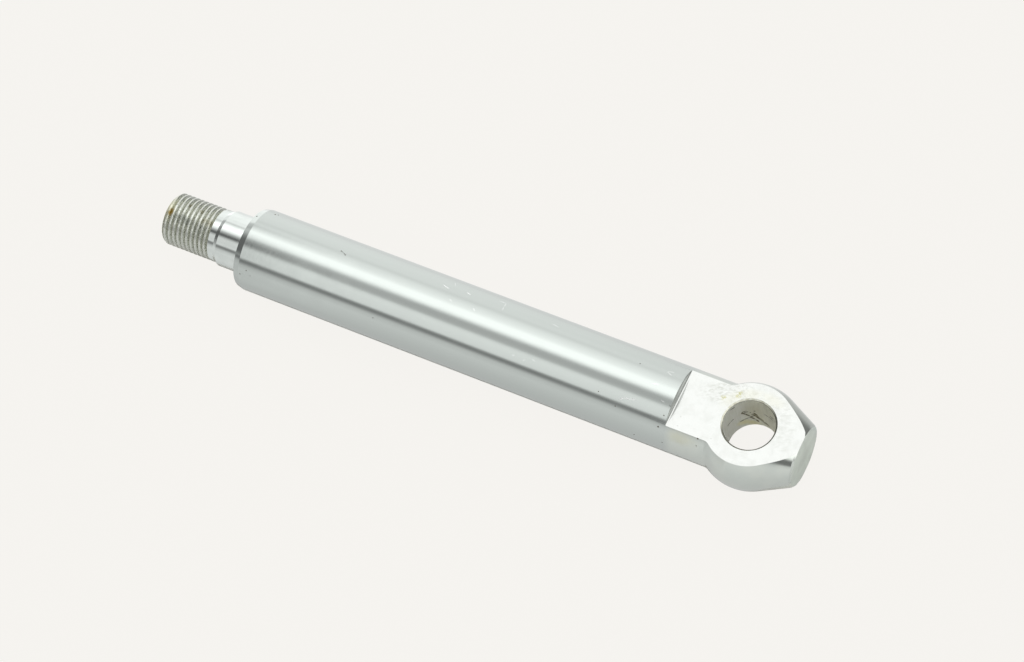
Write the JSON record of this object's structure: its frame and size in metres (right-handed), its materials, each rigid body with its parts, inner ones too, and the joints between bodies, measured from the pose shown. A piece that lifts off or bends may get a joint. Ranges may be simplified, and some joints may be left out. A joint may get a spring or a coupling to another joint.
{
  "type": "hydraulic piston rod",
  "caption": "Chromed hydraulic piston rod with a shouldered, threaded stud for the piston and, opposite it, a ball-turned eye with milled flats and a cross bore.",
  "frame": {"origin": "centre of the eye's bore, half way between the milled flats", "axes": "+X along the rod's axis towards the eye's end, +Z square to the milled flats and along the bore"},
  "size_m": [0.204, 0.0304, 0.025],
  "materials": {
    "hard_chrome": "ground and hard chromed, bright"
  },
  "bodies": {
    "root": {"piston_rod": "hard_chrome"}
  },
  "joints": []
}
